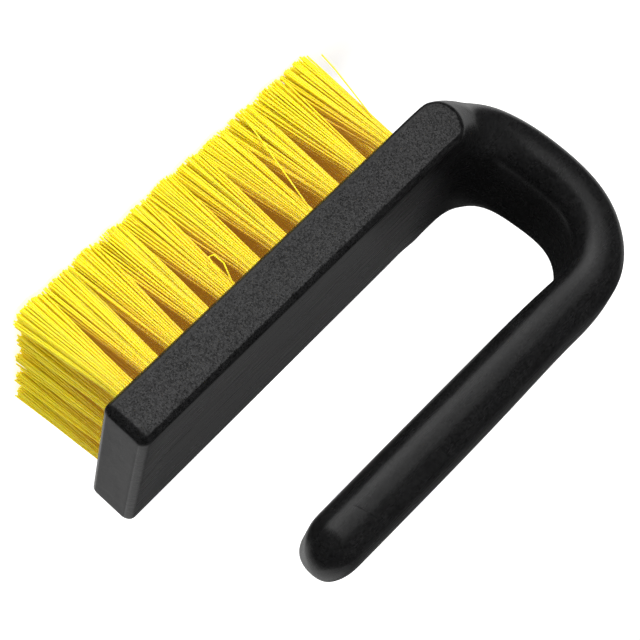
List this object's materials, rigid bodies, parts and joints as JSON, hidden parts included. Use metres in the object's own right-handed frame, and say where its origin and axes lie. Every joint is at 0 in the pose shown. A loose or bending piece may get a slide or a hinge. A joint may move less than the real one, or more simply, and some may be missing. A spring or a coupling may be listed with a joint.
{
  "type": "wheel brush",
  "caption": "Hand-held wheel scrubbing brush: a flat rectangular block of stiff yellow filament tufts with a hooked grip moulded over it.",
  "frame": {"origin": "on the plane of the bristle tips, at the middle of the outer box", "axes": "+Z from the bristle tips up to the grip, +X from the bend of the handle to the free end, +Y across the block"},
  "size_m": [0.1772, 0.076, 0.1212],
  "materials": {
    "black_moulding": "fine moulded grain, satin",
    "yellow_filament": "drawn filament, semi-gloss"
  },
  "bodies": {
    "root": {"moulded_body": "black_moulding", "tuft_row1_01": "yellow_filament", "tuft_row2_01": "yellow_filament", "tuft_row3_01": "yellow_filament", "tuft_row4_01": "yellow_filament", "tuft_row5_01": "yellow_filament", "tuft_row1_02": "yellow_filament", "tuft_row2_02": "yellow_filament", "tuft_row3_02": "yellow_filament", "tuft_row4_02": "yellow_filament", "tuft_row5_02": "yellow_filament", "tuft_row1_03": "yellow_filament", "tuft_row2_03": "yellow_filament", "tuft_row3_03": "yellow_filament", "tuft_row4_03": "yellow_filament", "tuft_row5_03": "yellow_filament", "tuft_row1_04": "yellow_filament", "tuft_row2_04": "yellow_filament", "tuft_row3_04": "yellow_filament", "tuft_row4_04": "yellow_filament", "tuft_row5_04": "yellow_filament", "tuft_row1_05": "yellow_filament", "tuft_row2_05": "yellow_filament", "tuft_row3_05": "yellow_filament", "tuft_row4_05": "yellow_filament", "tuft_row5_05": "yellow_filament", "tuft_row1_06": "yellow_filament", "tuft_row2_06": "yellow_filament", "tuft_row3_06": "yellow_filament", "tuft_row4_06": "yellow_filament", "tuft_row5_06": "yellow_filament", "tuft_row1_07": "yellow_filament", "tuft_row2_07": "yellow_filament", "tuft_row3_07": "yellow_filament", "tuft_row4_07": "yellow_filament", "tuft_row5_07": "yellow_filament", "tuft_row1_08": "yellow_filament", "tuft_row2_08": "yellow_filament", "tuft_row3_08": "yellow_filament", "tuft_row4_08": "yellow_filament", "tuft_row5_08": "yellow_filament", "tuft_row1_09": "yellow_filament", "tuft_row2_09": "yellow_filament", "tuft_row3_09": "yellow_filament", "tuft_row4_09": "yellow_filament", "tuft_row5_09": "yellow_filament", "tuft_row1_10": "yellow_filament", "tuft_row2_10": "yellow_filament", "tuft_row3_10": "yellow_filament", "tuft_row4_10": "yellow_filament", "tuft_row5_10": "yellow_filament", "tuft_row1_11": "yellow_filament", "tuft_row2_11": "yellow_filament", "tuft_row3_11": "yellow_filament", "tuft_row4_11": "yellow_filament", "tuft_row5_11": "yellow_filament"}
  },
  "joints": []
}
